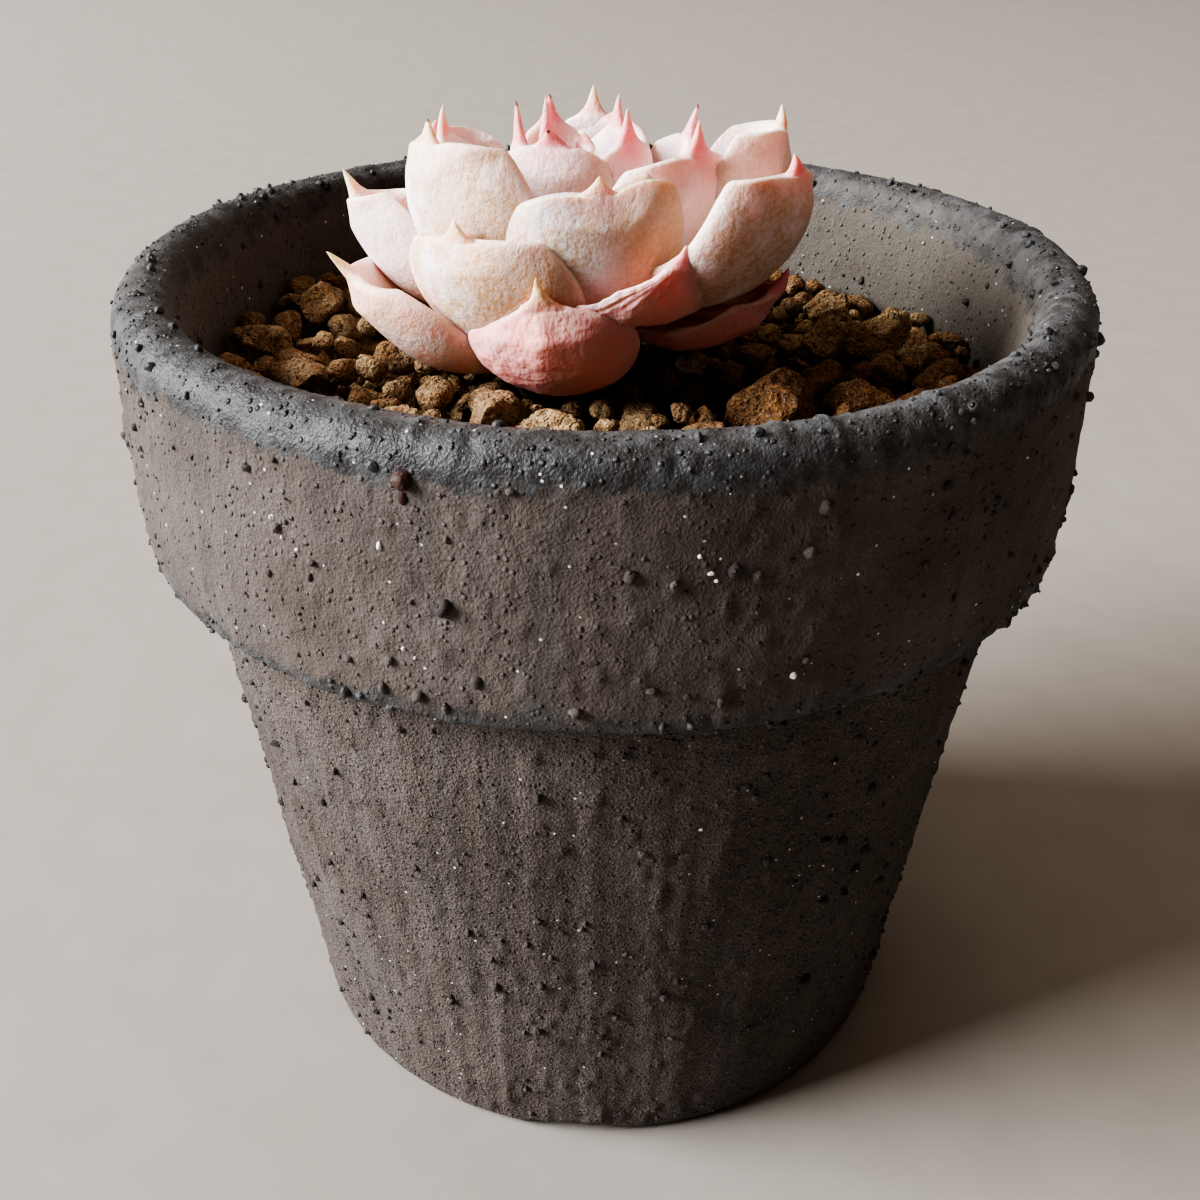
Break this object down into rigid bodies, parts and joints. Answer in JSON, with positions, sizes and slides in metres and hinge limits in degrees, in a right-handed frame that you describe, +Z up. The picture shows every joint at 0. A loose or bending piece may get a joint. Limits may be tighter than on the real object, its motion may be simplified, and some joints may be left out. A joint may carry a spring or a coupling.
{
  "type": "potted succulent",
  "caption": "Small echeveria rosette with pointed powdery leaves, growing in a rough dark stoneware pot with a thick collar and tan gravel on top.",
  "frame": {"origin": "on the surface the pot stands on, under the middle of the pot", "axes": "+Z up, -Y is the front, where the large coral leaf hangs over the gravel, +X to the right of it"},
  "size_m": [0.09, 0.09, 0.0971],
  "materials": {
    "stoneware": "matte",
    "plastic_mesh": "matte",
    "potting_mix": "matte",
    "gravel": "matte",
    "stem": "matte",
    "leaf": "satin",
    "old_leaf": "satin"
  },
  "bodies": {
    "root": {"pot": "stoneware", "drainage_mesh": "plastic_mesh", "stem": "stem", "potting_mix": "potting_mix", "leaf_old_2": "old_leaf", "leaf_old_3": "old_leaf", "leaf_heart_1": "leaf", "leaf_heart_2": "leaf", "leaf_heart_3": "leaf", "leaf_heart_4": "leaf", "leaf_heart_5": "leaf", "leaf_heart_6": "leaf", "leaf_heart_7": "leaf", "leaf_heart_8": "leaf", "leaf_inner_1": "leaf", "leaf_inner_2": "leaf", "leaf_inner_3": "leaf", "leaf_inner_4": "leaf", "leaf_inner_5": "leaf", "leaf_inner_6": "leaf", "leaf_inner_7": "leaf", "leaf_inner_8": "leaf", "leaf_middle_1": "leaf", "leaf_middle_2": "leaf", "leaf_middle_3": "leaf", "leaf_middle_4": "leaf", "leaf_middle_5": "leaf", "leaf_middle_6": "leaf", "leaf_outer_1": "leaf", "leaf_outer_2": "leaf", "leaf_outer_3": "leaf", "leaf_outer_4": "leaf", "leaf_outer_5": "leaf", "leaf_old_1": "old_leaf", "stone_1": "gravel", "stone_2": "gravel", "stone_3": "gravel", "stone_4": "gravel", "stone_5": "gravel", "stone_6": "gravel", "stone_7": "gravel", "stone_8": "gravel", "stone_9": "gravel", "stone_10": "gravel", "stone_11": "gravel", "stone_12": "gravel", "stone_13": "gravel", "stone_14": "gravel", "stone_15": "gravel", "stone_16": "gravel", "gravel_bed": "gravel"}
  },
  "joints": []
}
